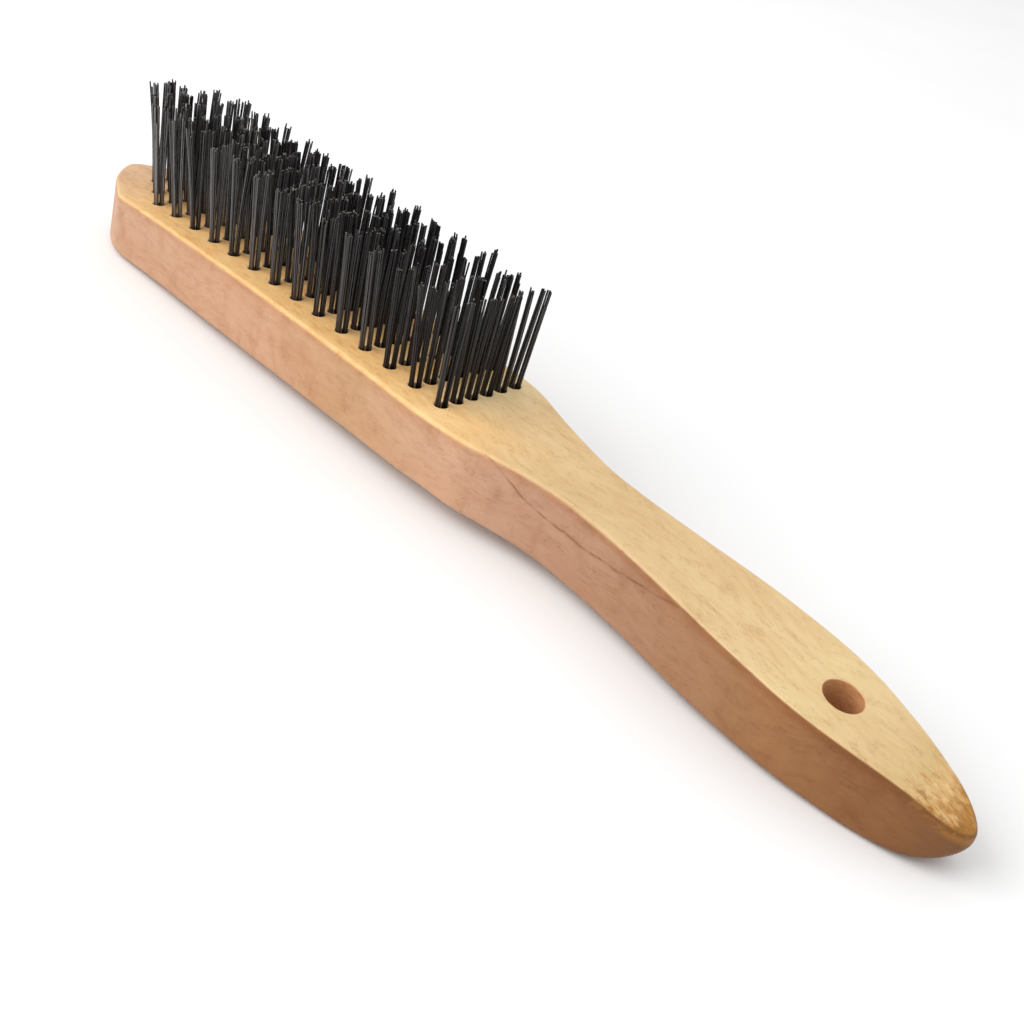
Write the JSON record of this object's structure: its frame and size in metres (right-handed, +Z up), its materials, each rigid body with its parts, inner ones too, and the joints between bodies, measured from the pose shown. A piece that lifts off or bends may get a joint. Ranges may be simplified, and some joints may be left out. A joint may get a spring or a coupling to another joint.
{
  "type": "wire brush",
  "caption": "Hand wire brush: shoe-shaped hardwood handle with a hang hole, its wide block set with tufts of dark steel wire in straight rows.",
  "frame": {"origin": "middle of the footprint of the bounding box, on the surface the brush lies on", "axes": "+X along the handle from the nose to the tip with the hang hole, +Y across it, +Z up out of the back, the way the bristles point"},
  "size_m": [0.2716, 0.033, 0.0432],
  "materials": {
    "handle_wood": "sanded bare hardwood, fine straight grain",
    "steel_wire": "dark oil-tempered wire, satin"
  },
  "bodies": {
    "root": {"handle": "handle_wood", "tufts_row1_rank03_04": "steel_wire", "tufts_row1_rank05_06": "steel_wire", "tufts_row1_rank07_08": "steel_wire", "tufts_row1_rank09_10": "steel_wire", "tufts_row1_rank11_12": "steel_wire", "tufts_row1_rank13_14": "steel_wire", "tufts_row1_rank15_16": "steel_wire", "tufts_row2_rank02": "steel_wire", "tufts_row2_rank03_04": "steel_wire", "tufts_row2_rank05_06": "steel_wire", "tufts_row2_rank07_08": "steel_wire", "tufts_row2_rank09_10": "steel_wire", "tufts_row2_rank11_12": "steel_wire", "tufts_row2_rank13_14": "steel_wire", "tufts_row2_rank15_16": "steel_wire", "tufts_row3_rank01_02": "steel_wire", "tufts_row3_rank03_04": "steel_wire", "tufts_row3_rank05_06": "steel_wire", "tufts_row3_rank07_08": "steel_wire", "tufts_row3_rank09_10": "steel_wire", "tufts_row3_rank11_12": "steel_wire", "tufts_row3_rank13_14": "steel_wire", "tufts_row3_rank15_16": "steel_wire", "tufts_row4_rank01_02": "steel_wire", "tufts_row4_rank03_04": "steel_wire", "tufts_row4_rank05_06": "steel_wire", "tufts_row4_rank07_08": "steel_wire", "tufts_row4_rank09_10": "steel_wire", "tufts_row4_rank11_12": "steel_wire", "tufts_row4_rank13_14": "steel_wire", "tufts_row4_rank15_16": "steel_wire", "tufts_row5_rank02": "steel_wire", "tufts_row5_rank03_04": "steel_wire", "tufts_row5_rank05_06": "steel_wire", "tufts_row5_rank07_08": "steel_wire", "tufts_row5_rank09_10": "steel_wire", "tufts_row5_rank11_12": "steel_wire", "tufts_row5_rank13_14": "steel_wire", "tufts_row5_rank15_16": "steel_wire", "tufts_row6_rank03_04": "steel_wire", "tufts_row6_rank05_06": "steel_wire", "tufts_row6_rank07_08": "steel_wire", "tufts_row6_rank09_10": "steel_wire", "tufts_row6_rank11_12": "steel_wire", "tufts_row6_rank13_14": "steel_wire", "tufts_row6_rank15_16": "steel_wire"}
  },
  "joints": []
}
